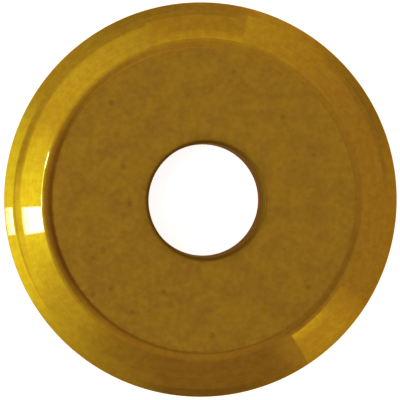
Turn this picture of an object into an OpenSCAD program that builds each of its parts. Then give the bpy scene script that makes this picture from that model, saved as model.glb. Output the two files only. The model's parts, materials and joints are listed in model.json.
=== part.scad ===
// Tile cutter wheel: a coated carbide disc that is rolled along a glazed tile to score it.
// It is one solid of revolution about Z, and its cutting edge lies in the plane z = 0.

/* [Wheel] */
// Diameter over the cutting edge
wheel_d = 22.2; // [18:0.1:30]
// Thickness between the two flat sides
wheel_t = 2; // [1.6:0.1:2.6]

/* [Bore] */
// Diameter of the axle pin that the wheel turns on
pin_d = 6.3; // [5:0.05:8]
// Clearance on the diameter between the pin and the bore
pin_clearance = 0.05; // [0.02:0.01:0.2]
// Width of the chamfer at each mouth of the bore
mouth_chamfer = 0.15; // [0.05:0.05:0.4]

/* [Ground edge] */
// Radial width of the whole bevel, from the flat side to the cutting edge
bevel_w = 2.4; // [2:0.05:3]
// Radial width of the steeper cutting facet next to the cutting edge
facet_w = 0.7; // [0.5:0.05:1]
// Angle between the two cutting facets, in degrees
edge_angle = 70; // [60:1:90]
// Radius left on the cutting edge itself
edge_r = 0.05; // [0.02:0.01:0.1]

/* [Blends] */
// Radius of the shoulder, where the flat side turns into the bevel
shoulder_r = 2.4; // [0.5:0.1:3]
// Radius of the heel, where the bevel turns into the cutting facet
heel_r = 2; // [0.5:0.1:2.5]

/* [Hidden] */
$fn = 96;
coating = [0.53, 0.38, 0.1];
// How far the circle of a blend stands proud of the two sides, so that it crosses them cleanly
crossing = 0.0005;

half_t = wheel_t / 2;
wheel_r = wheel_d / 2;
bore_r = (pin_d + pin_clearance) / 2;
shoulder_at = wheel_r - bevel_w;
heel_at = wheel_r - facet_w;
// The cutting facets would meet beyond the rim, and the edge radius brings them back to it.
tip_at = wheel_r - edge_r + (edge_r - crossing) / sin(edge_angle / 2);
heel_z = (tip_at - heel_at) * tan(edge_angle / 2);

// Each corner of the section is [radius, height, blend radius].
upper_corners = [
    [bore_r, half_t - mouth_chamfer, 0],
    [bore_r + mouth_chamfer, half_t, 0],
    [shoulder_at, half_t, shoulder_r],
    [heel_at, heel_z, heel_r]
];
edge_corner = [tip_at, 0, edge_r];
lower_corners = [
    for (i = [len(upper_corners) - 1:-1:0])
        let (upper = upper_corners[i]) [upper.x, -upper.y, upper[2]]
];
section = concat(upper_corners, [edge_corner], lower_corners);

function point(corner) = [corner.x, corner.y];
function unit(v) = v / norm(v);

// What comes off a corner to leave an arc of radius r that runs into both of its sides
module corner_waste(corner, before, after, r) {
    to_before = unit(before - corner);
    to_after = unit(after - corner);
    half_angle = acos(to_before * to_after) / 2;
    inset = r - crossing;
    reach = inset / tan(half_angle);
    centre = corner + unit(to_before + to_after) * inset / sin(half_angle);
    kite = [centre, corner + reach * to_before, corner, corner + reach * to_after];
    difference() {
        polygon([for (p = kite) centre + 2 * (p - centre)]);
        translate(centre) circle(r = r);
    }
}

// The closed outline through a list of corners, with a true arc at each one that has a radius
module blended_outline(corners) {
    n = len(corners);
    difference() {
        polygon([for (corner = corners) point(corner)]);
        for (i = [0:n - 1])
            if (corners[i][2] > 0)
                corner_waste(
                    point(corners[i]),
                    point(corners[(i + n - 1) % n]),
                    point(corners[(i + 1) % n]),
                    corners[i][2]
                );
    }
}

module cutter_wheel() {
    color(coating) rotate_extrude() blended_outline(section);
}

cutter_wheel();
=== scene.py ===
"""A tile cutter wheel: coated carbide, lapped flat on both sides and ground to a double-bevel edge."""
import json
import math

import bpy
from mathutils import Matrix, Vector


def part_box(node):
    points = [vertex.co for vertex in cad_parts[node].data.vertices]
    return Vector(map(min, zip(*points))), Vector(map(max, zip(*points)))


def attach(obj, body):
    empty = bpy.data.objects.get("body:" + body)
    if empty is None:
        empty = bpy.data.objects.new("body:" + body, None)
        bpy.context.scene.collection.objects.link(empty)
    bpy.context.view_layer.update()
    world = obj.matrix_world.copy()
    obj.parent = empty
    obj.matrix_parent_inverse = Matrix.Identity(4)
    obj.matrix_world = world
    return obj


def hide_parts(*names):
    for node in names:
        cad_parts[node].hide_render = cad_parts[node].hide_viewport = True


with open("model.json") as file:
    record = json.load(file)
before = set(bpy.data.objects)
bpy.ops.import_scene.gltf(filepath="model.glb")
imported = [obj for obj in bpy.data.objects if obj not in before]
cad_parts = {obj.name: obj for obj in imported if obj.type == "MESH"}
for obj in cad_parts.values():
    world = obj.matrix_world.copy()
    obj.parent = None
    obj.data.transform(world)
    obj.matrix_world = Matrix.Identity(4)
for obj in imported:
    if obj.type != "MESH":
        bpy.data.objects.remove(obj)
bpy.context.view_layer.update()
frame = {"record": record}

# Sizes in millimetres: the outer ones from the frame, then those of the ground edge
MM = 0.001
record = frame["record"]
axle_bore = next(mount for mount in record["mounts"] if mount["name"] == "axle_bore")
WHEEL_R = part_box("cutter_wheel")[1].x / MM
HALF_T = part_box("cutter_wheel")[1].z / MM
BORE_R = axle_bore["dims"]["r_mm"]
WALL_HALF = axle_bore["dims"]["length_mm"] / 2
BEVEL_W = 2.4
FACET_W = 0.7
EDGE_ANGLE = math.radians(70)
EDGE_R = 0.05
SHOULDER_R = 2.4
HEEL_R = 2.0

SHOULDER_AT = WHEEL_R - BEVEL_W
HEEL_AT = WHEEL_R - FACET_W
TIP_AT = WHEEL_R + EDGE_R * (1 / math.sin(EDGE_ANGLE / 2) - 1)
HEEL_Z = (TIP_AT - HEEL_AT) * math.tan(EDGE_ANGLE / 2)

# Fineness of the turned mesh: segments round it, length of a straight step, steps in an arc
SEGMENTS = 600
STRAIGHT_STEP = 0.4
ARC_STEPS = 9

# Colours of the coating where it is lapped and ground, and a dark brown painted on the bore's wall and
# chamfer as shade
LAPPED_BROWN = (0.458, 0.244, 0.024, 1)
LAPPED_GOLD = (0.512, 0.282, 0.023, 1)
GROUND_GOLD = (0.52, 0.3, 0.022, 1)
GROUND_RED = (0.54, 0.285, 0.022, 1)
BORE_SHADE_BROWN = (0.22, 0.115, 0.008, 1)
# Tints at a grazing angle, on both sides and the bevel, and a darker one painted in the bore as shade
EDGE_GOLD = (0.85, 0.52, 0.1, 1)
BORE_SHADE_TINT = (0.4, 0.22, 0.0, 1)

# Radii between which one finish gives way to the next, and between which the painted shade of the bore and
# of its mouth fades out
GROUND_STARTS = (SHOULDER_AT - 0.45, SHOULDER_AT - 0.15)
BORE_ENDS = (BORE_R + 0.08, BORE_R + 0.28)
MOUTH_CLEARS = (BORE_R + 0.1, BORE_R + 0.7)

# Values of a noise between which its pattern shows, widely or with more contrast
NOISE_SPAN = (0.3, 0.7)
BLOTCH_SPAN = (0.35, 0.65)
CLOUD_SPAN = (0.4, 0.6)
# Distances from a pit's centre between which it clears, in cells of its pattern
PIT_SPAN = (0.05, 0.16)

# How much darker or lighter each pattern makes the coating
GRAIN_SHADE = (0.92, 1.08)
PIT_SHADE = (0.8, 1.0)
# Painted shade at the bore's mouth
MOUTH_SHADE = (0.86, 1.0)
LINE_SHADE = (0.95, 1.05)
CLOUD_SHADE = (0.93, 1.07)

# Gloss of each finish, and the relief of the grain and of the grinding lines
LAPPED_ROUGH = (0.4, 0.5)
GROUND_ROUGH = (0.02, 0.045)
BORE_ROUGH = 0.6
LAPPED_METALLIC = 0.65
GRAIN_RELIEF = 1.0
LINE_RELIEF = 0.12
RELIEF_DEPTH = 0.01
RELIEF_STRENGTH = 0.3

# Camera, in millimetres: a close view from almost straight above, tilted a little to the left
CAMERA_DISTANCE = 50.0
CAMERA_LEFT = math.radians(5.8)
CAMERA_UP = math.radians(1.0)
CAMERA_AIM = (-0.256, 0.018)
CAMERA_LENS = 80.0
SENSOR_WIDTH = 36
CLIP_NEAR = 1
CLIP_FAR = 5000

# Floor: how far it reaches each way, its gap to the wheel, its own light and its colour
FLOOR_REACH = 1500
FLOOR_GAP = 0.01
FLOOR_GLOW = 0.8
FLOOR_COLOUR = (0.8, 0.8, 0.8, 1)

# Room, with its angles in degrees of elevation. It turns darker towards the zenith and is white below
# the horizon. The red and green of both colours and the zenith's edge come from the fit named below.
ROOM_COLOUR = (0.36, 0.286, 0.34, 1)
ZENITH_COLOUR = (0.2, 0.12, 0.15, 1)
WHITE = (1, 1, 1, 1)
ZENITH_EDGE = 73
HORIZON_EDGE = 0.8
HORIZON_SOFT = 1.0
LOWER_SOFT = 5
UPPER_SOFT = 4

# Soft panels of the room: azimuth anticlockwise from +X, how far to each side the panel reaches and
# how far it is at its fullest, its lowest and highest elevation, and the colour it adds. A negative
# colour is a darker patch. Numbers of the first eleven came from a least-squares fit to the light in
# the photo, with some changed since. The other seven were chosen one by one.
PANELS = [
    (-153, 40, 0, -20, 54, (0.25, 0.32, 0.06)),
    (179, 31, 0, 52, 56, (0.74, 1.2, 0.15)),
    (174, 93, 0, -20, 63, (0.32, 0.38, 0.08)),
    (123, 105, 0, 44, 55, (0.25, 0.29, 0.08)),
    (105, 120, 0, 53, 84, (0.12, 0.12, 0.05)),
    (-176, 42, 0, -20, 23, (0.6, 0.92, 0.12)),
    (7, 69, 60, -20, 54, (0.16, 0.14, 0.08)),
    (72, 45, 0, -20, 43, (0.13, 0.13, 0.05)),
    (30, 90, 60, 55, 84, (0.07, 0.06, 0.04)),
    (-167, 28, 9, 28, 53, (0.39, 0.57, 0.1)),
    (-109, 15, 0, -20, 48, (0.04, 0.06, 0.02)),
    (50, 100, 50, 75, 88, (0.25, 0.26, 0.2)),
    (33, 24, 5, -20, 16, (-0.12, -0.1, -0.06)),
    (-86, 22, 5, -20, 14, (-0.09, -0.07, -0.05)),
    (-33, 26, 8, 57, 69, (-0.08, -0.065, -0.05)),
    (-88, 56, 25, 55, 79, (0.1, 0.085, 0.04)),
    (30, 34, 12, 12, 36, (-0.09, -0.07, -0.05)),
    (105, 20, 4, -20, 14, (-0.08, -0.06, -0.04)),
]

# Cards: how far off they are, degrees to a column and rows of their meshes
CARD_DISTANCE = 250.0
CARD_STEP = 2.0
CARD_ROWS = 6
# A light so blue that the gold coating mirrors it white
WINDOW = (5, 7.5, 45)
SHINE = (2, 3.2, 3.5)
# Each card has the azimuths and radii of the stretch of the wheel that mirrors it, then its light at
# the first azimuth and at the last. The azimuths are clockwise from the right, as the camera sees them.
CARDS = [
    ("window", (169.4, 177.9), (9.0, 10.03), WINDOW, WINDOW),
    ("low_window", (170, 178), (10.62, 10.84), WINDOW, WINDOW),
    ("lower_glint", (177.9, 182), (8.96, 9.0), WINDOW, WINDOW),
    ("upper_glint", (191.5, 197), (8.95, 9.0), WINDOW, WINDOW),
    ("shine", (182, 191.5), (8.96, 9.01), SHINE, SHINE),
    ("right_fade", (32, 44), (8.96, 11.05), (0.58, 0.48, 0.38), (0.78, 0.7, 0.4)),
    ("right_outer", (44, 57.5), (9.3, 11.05), (0.78, 0.7, 0.4), (0.72, 0.65, 0.4)),
    ("right_inner", (44, 57.5), (8.96, 9.3), (0.9, 0.84, 0.4), (1.04, 1.02, 0.4)),
    ("top_inner", (253, 283), (8.95, 9.3), (0.76, 0.72, 0.4), (0.76, 0.72, 0.4)),
    ("top_shoulder", (250, 298), (8.78, 8.95), (0.6, 0.53, 0.38), (0.6, 0.53, 0.38)),
    ("top_left", (251, 262), (9.3, 10.3), (0.67, 0.6, 0.38), (0.58, 0.5, 0.38)),
    ("top_middle", (262, 283), (9.3, 10.3), (0.58, 0.5, 0.38), (0.58, 0.5, 0.38)),
    ("top_right", (283, 310), (8.95, 10.6), (0.72, 0.67, 0.4), (0.6, 0.5, 0.37)),
]

Z = Vector((0, 0, 1))


class Graph:
    """Adds nodes to one node tree. Each method but end returns the new node's output."""

    def __init__(self, tree):
        self.tree = tree
        tree.nodes.clear()

    def node(self, kind, inputs=None, output=0, **settings):
        made = self.tree.nodes.new(kind)
        for name, value in settings.items():
            setattr(made, name, value)
        for key, value in (inputs or {}).items():
            if isinstance(value, bpy.types.NodeSocket):
                self.tree.links.new(value, made.inputs[key])
            else:
                made.inputs[key].default_value = value
        return made.outputs[output]

    def end(self, kind, surface):
        """The node that the tree ends in, which has no output of its own."""
        self.tree.links.new(surface, self.tree.nodes.new(kind).inputs["Surface"])

    def math(self, operation, *values):
        return self.node("ShaderNodeMath", dict(enumerate(values)), operation=operation)

    def vector_math(self, operation, *values, output=0):
        return self.node(
            "ShaderNodeVectorMath", dict(enumerate(values)), output, operation=operation
        )

    def scaled(self, vector, factor):
        return self.node("ShaderNodeVectorMath", {0: vector, 3: factor}, operation="SCALE")

    def level(self, vector):
        """The vector without its height."""
        return self.vector_math("MULTIPLY", vector, (1, 1, 0))

    def ramp(self, value, low, high, at_low=0.0, at_high=1.0):
        """A smooth step of value, from at_low where it is low to at_high where it is high."""
        inputs = {0: value, 1: low, 2: high, 3: at_low, 4: at_high}
        return self.node("ShaderNodeMapRange", inputs, interpolation_type="SMOOTHSTEP")

    def between(self, factor, low, high):
        """A number between low and high."""
        return self.node("ShaderNodeMix", {0: factor, 2: low, 3: high})

    def mix(self, factor, low, high):
        """A colour between low and high."""
        inputs = {0: factor, 6: low, 7: high}
        return self.node("ShaderNodeMix", inputs, 2, data_type="RGBA")

    def noise(self, vector, scale, detail=2.0, roughness=0.5):
        inputs = {"Vector": vector, "Scale": scale, "Detail": detail, "Roughness": roughness}
        return self.node("ShaderNodeTexNoise", inputs)


def new_material(name):
    """A new material, and the graph that adds its nodes."""
    material = bpy.data.materials.new(name)
    material.use_nodes = True
    return material, Graph(material.node_tree)


def rounded(before, corner, after, radius):
    """The arc that rounds a corner, as (point, normal) pairs."""
    to_before = (before - corner).normalized()
    to_after = (after - corner).normalized()
    half_angle = to_before.angle(to_after) / 2
    reach = radius / math.tan(half_angle)
    centre = corner + (to_before + to_after).normalized() * radius / math.sin(half_angle)
    start = (corner + to_before * reach - centre).normalized()
    end = (corner + to_after * reach - centre).normalized()
    normals = [start.slerp(end, i / ARC_STEPS) for i in range(ARC_STEPS + 1)]
    return [(centre + normal * radius, normal) for normal in normals]


def straight(start, end):
    """Even steps along a straight side, as (point, normal) pairs, with the normal to its right."""
    along = end - start
    normal = Vector((along.y, -along.x)).normalized()
    steps = math.ceil(along.length / STRAIGHT_STEP)
    return [(start + along * i / steps, normal) for i in range(steps + 1)]


def wheel_section():
    """The closed half section, as runs of (point, normal) that start where the last one ended.

    It goes clockwise: up the bore's wall, out along the upper side, round the edge and back.
    """
    upper = [
        (BORE_R, WALL_HALF, 0),
        (BORE_R + HALF_T - WALL_HALF, HALF_T, 0),
        (SHOULDER_AT, HALF_T, SHOULDER_R),
        (HEEL_AT, HEEL_Z, HEEL_R),
    ]
    lower = [(r, -z, blend) for r, z, blend in reversed(upper)]
    corners = upper + [(TIP_AT, 0, EDGE_R)] + lower
    places = [Vector(corner[:2]) for corner in corners]
    blends = []
    for i, (_, _, blend) in enumerate(corners):
        after = places[(i + 1) % len(places)]
        blends.append(rounded(places[i - 1], places[i], after, blend) if blend else [])
    runs = []
    for i, blend in enumerate(blends):
        start = blends[i - 1][-1][0] if blends[i - 1] else places[i - 1]
        end = blend[0][0] if blend else places[i]
        runs.append([(point, -normal) for point, normal in straight(start, end)])
        if blend:
            runs.append(blend)
    return runs


def turned_mesh(name, runs):
    """A closed mesh from a half section turned about Z, with the section's own normals."""
    rings = [point for run in runs for point, _ in run[:-1]]
    strips = [pair for run in runs for pair in zip(run[:-1], run[1:])]
    angles = [2 * math.pi * j / SEGMENTS for j in range(SEGMENTS)]
    turns = [(math.cos(angle), math.sin(angle)) for angle in angles]
    points = [(p.x * c * MM, p.x * s * MM, p.y * MM) for p in rings for c, s in turns]
    faces = []
    normals = []
    for i, ((_, normal), (_, next_normal)) in enumerate(strips):
        ring = i * SEGMENTS
        next_ring = (i + 1) % len(rings) * SEGMENTS
        for j in range(SEGMENTS):
            k = (j + 1) % SEGMENTS
            faces.append((ring + j, next_ring + j, next_ring + k, ring + k))
            corners = ((normal, j), (next_normal, j), (next_normal, k), (normal, k))
            normals += [(n.x * turns[t][0], n.x * turns[t][1], n.y) for n, t in corners]
    mesh = bpy.data.meshes.new(name)
    mesh.from_pydata(points, [], faces)
    mesh.shade_smooth()
    mesh.normals_split_custom_set(normals)
    return mesh


def coated_carbide():
    """Titanium nitride on ground carbide: matte where the sides are lapped, bright on the bevel."""
    material, g = new_material("coated_carbide")
    place = g.node("ShaderNodeTexCoord", output="Object")
    place = g.vector_math("MULTIPLY", place, (1 / MM, 1 / MM, 1 / MM))
    outward = g.level(place)
    radius = g.vector_math("LENGTH", outward, output="Value")

    # Where the ground finish is, and where the bore's painted shade is: the lapped side is what the other
    # two leave
    ground = g.ramp(radius, *GROUND_STARTS)
    bore = g.ramp(radius, *BORE_ENDS, 1.0, 0.0)

    # Lapped side: a fine grain, faint blotches and a few tiny pits, with painted shade that makes it a
    # little darker at the bore's mouth
    grain = g.noise(place, 3.2, 4.0, 0.6)
    blotches = g.noise(place, 0.9, 3.0)
    pits = g.node("ShaderNodeTexVoronoi", {"Vector": place, "Scale": 0.7})
    lapped_colour = g.mix(g.ramp(blotches, *BLOTCH_SPAN), LAPPED_BROWN, LAPPED_GOLD)
    grain_shade = g.ramp(grain, *NOISE_SPAN, *GRAIN_SHADE)
    lapped_shade = g.math("MULTIPLY", grain_shade, g.ramp(pits, *PIT_SPAN, *PIT_SHADE))
    # Painted shade: a little darker at the bore's mouth
    lapped_shade = g.math("MULTIPLY", lapped_shade, g.ramp(radius, *MOUTH_CLEARS, *MOUTH_SHADE))

    # Ground bevel: fine lines that run round the wheel, under soft clouds
    turn = g.vector_math("NORMALIZE", outward)
    across = g.node("ShaderNodeCombineXYZ", {0: radius})
    lines = g.noise(g.vector_math("ADD", g.scaled(turn, 0.15), across), 14.0, 4.0, 0.65)
    clouds = g.noise(place, 2.6, 3.0, 0.6)
    line_shade = g.ramp(lines, *NOISE_SPAN, *LINE_SHADE)
    ground_shade = g.math("MULTIPLY", line_shade, g.ramp(clouds, *NOISE_SPAN, *CLOUD_SHADE))
    ground_colour = g.mix(g.ramp(clouds, *CLOUD_SPAN), GROUND_RED, GROUND_GOLD)

    shade = g.between(ground, lapped_shade, ground_shade)
    colour = g.mix(ground, lapped_colour, ground_colour)
    # Painted shade: dark brown on the bore's wall and chamfer
    colour = g.mix(bore, g.scaled(colour, shade), BORE_SHADE_BROWN)

    lapped_rough = g.ramp(grain, *NOISE_SPAN, *LAPPED_ROUGH)
    ground_rough = g.ramp(lines, *NOISE_SPAN, *GROUND_ROUGH)
    rough = g.between(ground, lapped_rough, ground_rough)

    # The relief is about zero, so that it has no step where the finishes meet
    height = g.math("SUBTRACT", g.between(ground, grain, lines), 0.5)
    height = g.math("MULTIPLY", height, g.between(ground, GRAIN_RELIEF, LINE_RELIEF))
    relief = {"Height": height, "Strength": RELIEF_STRENGTH, "Distance": RELIEF_DEPTH * MM}
    shader = g.node(
        "ShaderNodeBsdfPrincipled",
        {
            "Base Color": colour,
            "Metallic": g.math("MAXIMUM", g.ramp(ground, 0.0, 1.0, LAPPED_METALLIC, 1.0), bore),
            "Specular IOR Level": 0.2,
            "Roughness": g.math("MAXIMUM", rough, g.math("MULTIPLY", bore, BORE_ROUGH)),
            # Painted shade: a darker tint in the bore
            "Specular Tint": g.mix(bore, EDGE_GOLD, BORE_SHADE_TINT),
            "Coat Weight": 0.02,
            "Coat Roughness": 0.04,
            "Normal": g.node("ShaderNodeBump", relief),
        },
    )
    g.end("ShaderNodeOutputMaterial", shader)
    return material


def pale_floor():
    """White to the camera and to reflections, with the wheel's soft shadow on it, and clear from below."""
    material, g = new_material("pale_floor")
    rays = g.node("ShaderNodeLightPath").node
    seen = g.math("MAXIMUM", rays.outputs["Is Camera Ray"], rays.outputs["Is Glossy Ray"])
    seen = g.math("MAXIMUM", seen, rays.outputs["Is Transmission Ray"])
    glow = g.node("ShaderNodeEmission", {"Strength": g.math("MULTIPLY", seen, FLOOR_GLOW)})
    matte = g.node("ShaderNodeBsdfDiffuse", {"Color": FLOOR_COLOUR})
    top = g.node("ShaderNodeAddShader", {0: glow, 1: matte})
    from_below = g.node("ShaderNodeNewGeometry", output="Backfacing")
    clear = g.node("ShaderNodeBsdfTransparent")
    g.end("ShaderNodeOutputMaterial", g.node("ShaderNodeMixShader", {0: from_below, 1: top, 2: clear}))
    return material


def card_light():
    """The light of all the cards: each point of a card has its own, in the attribute "glow"."""
    material, g = new_material("card_light")
    glow = g.node("ShaderNodeAttribute", attribute_name="glow")
    g.end("ShaderNodeOutputMaterial", g.node("ShaderNodeEmission", {"Color": glow}))
    return material


def add_object(name, data):
    obj = bpy.data.objects.new(name, data)
    bpy.context.scene.collection.objects.link(obj)
    return obj


def add_wheel():
    mesh = turned_mesh("wheel", wheel_section())
    mesh.materials.append(coated_carbide())
    wheel = add_object("wheel", mesh)
    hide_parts("cutter_wheel")
    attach(wheel, "root")


def add_floor():
    size = FLOOR_REACH * MM
    z = -(HALF_T + FLOOR_GAP) * MM
    mesh = bpy.data.meshes.new("floor")
    corners = [(-size, -size, z), (size, -size, z), (size, size, z), (-size, size, z)]
    mesh.from_pydata(corners, [], [(0, 1, 2, 3)])
    mesh.materials.append(pale_floor())
    add_object("floor", mesh)


def placed(place, x_axis, z_axis):
    """The matrix that puts an object at that place, with its own axes that way round."""
    turn = Matrix((x_axis, z_axis.cross(x_axis), z_axis)).transposed().to_4x4()
    return Matrix.Translation(place) @ turn


def add_camera():
    data = bpy.data.cameras.new("camera")
    data.sensor_width = SENSOR_WIDTH
    data.lens = CAMERA_LENS
    data.clip_start = CLIP_NEAR * MM
    data.clip_end = CLIP_FAR * MM
    camera = add_object("camera", data)
    back = Vector((-math.tan(CAMERA_LEFT), math.tan(CAMERA_UP), 1)).normalized()
    place = back * CAMERA_DISTANCE * MM
    z_axis = (place - Vector((*CAMERA_AIM, 0)) * MM).normalized()
    x_axis = Vector((0, 1, 0)).cross(z_axis).normalized()
    camera.matrix_world = placed(place, x_axis, z_axis)
    bpy.context.scene.camera = camera
    return camera


def spot(radius):
    """The point of the upper side's section at that radius, and the normal there."""
    for run in wheel_section():
        for (start, start_normal), (end, end_normal) in zip(run[:-1], run[1:]):
            if start.y > 0 and start.x <= radius < end.x:
                share = (radius - start.x) / (end.x - start.x)
                return start.lerp(end, share), start_normal.lerp(end_normal, share).normalized()


def mirrored(camera, azimuth, radius):
    """The place, at the cards' distance, that the camera sees mirrored at that spot of the wheel."""
    point, normal = spot(radius)
    azimuth = -math.radians(azimuth)
    outward = Vector((math.cos(azimuth), math.sin(azimuth), 0))
    place = (outward * point.x + Z * point.y) * MM
    normal = outward * normal.x + Z * normal.y
    to_camera = (camera.location - place).normalized()
    return place + (2 * normal.dot(to_camera) * normal - to_camera) * CARD_DISTANCE * MM


def add_card(camera, material, name, azimuths, radii, light, far_light):
    """A glowing card, out of the camera's sight but mirrored to it by that stretch of the wheel."""
    light = Vector(light)
    columns = math.ceil((azimuths[1] - azimuths[0]) / CARD_STEP)
    points = []
    glows = []
    for i in range(CARD_ROWS + 1):
        radius = radii[0] + (radii[1] - radii[0]) * i / CARD_ROWS
        for j in range(columns + 1):
            azimuth = azimuths[0] + (azimuths[1] - azimuths[0]) * j / columns
            points.append(mirrored(camera, azimuth, radius))
            glows += [*light.lerp(Vector(far_light), j / columns), 1]
    faces = []
    for i in range(CARD_ROWS):
        for j in range(columns):
            corner = i * (columns + 1) + j
            faces.append((corner, corner + 1, corner + columns + 2, corner + columns + 1))
    mesh = bpy.data.meshes.new(name)
    mesh.from_pydata(points, [], faces)
    mesh.color_attributes.new("glow", "FLOAT_COLOR", "POINT").data.foreach_set("color", glows)
    mesh.materials.append(material)
    card = add_object(name, mesh)
    card.visible_camera = False


def add_studio():
    """A dim room with soft panels in it, darker straight above and white below the horizon."""
    world = bpy.data.worlds.new("studio")
    bpy.context.scene.world = world
    world.use_nodes = True
    g = Graph(world.node_tree)
    direction = g.node("ShaderNodeTexCoord", output="Generated")
    round_about = g.vector_math("NORMALIZE", g.level(direction))
    z = g.node("ShaderNodeSeparateXYZ", {0: direction}, 2)

    def step(elevation, soft, at_low, at_high):
        """A smooth step from soft degrees below that elevation to as many above it."""
        low, high = (math.sin(math.radians(elevation + side * soft)) for side in (-1, 1))
        return g.ramp(z, low, high, at_low, at_high)

    total = g.mix(step(ZENITH_EDGE, LOWER_SOFT, 0.0, 1.0), ROOM_COLOUR, ZENITH_COLOUR)
    for azimuth, reach, core, low, high, colour in PANELS:
        azimuth = math.radians(azimuth)
        toward = (math.cos(azimuth), math.sin(azimuth), 0)
        along = g.vector_math("DOT_PRODUCT", round_about, toward, output="Value")
        glow = g.ramp(along, math.cos(math.radians(reach)), math.cos(math.radians(core)))
        glow = g.math("MULTIPLY", glow, step(low, LOWER_SOFT, 0.0, 1.0))
        glow = g.math("MULTIPLY", glow, step(high, UPPER_SOFT, 1.0, 0.0))
        total = g.vector_math("ADD", total, g.scaled(colour, glow))
    colour = g.mix(step(HORIZON_EDGE, HORIZON_SOFT, 1.0, 0.0), total, WHITE)
    g.end("ShaderNodeOutputWorld", g.node("ShaderNodeBackground", {"Color": colour}))


camera = add_camera()
add_wheel()
add_floor()
add_studio()
light = card_light()
for card in CARDS:
    add_card(camera, light, *card)

scene = bpy.context.scene
scene.view_settings.view_transform = "Standard"
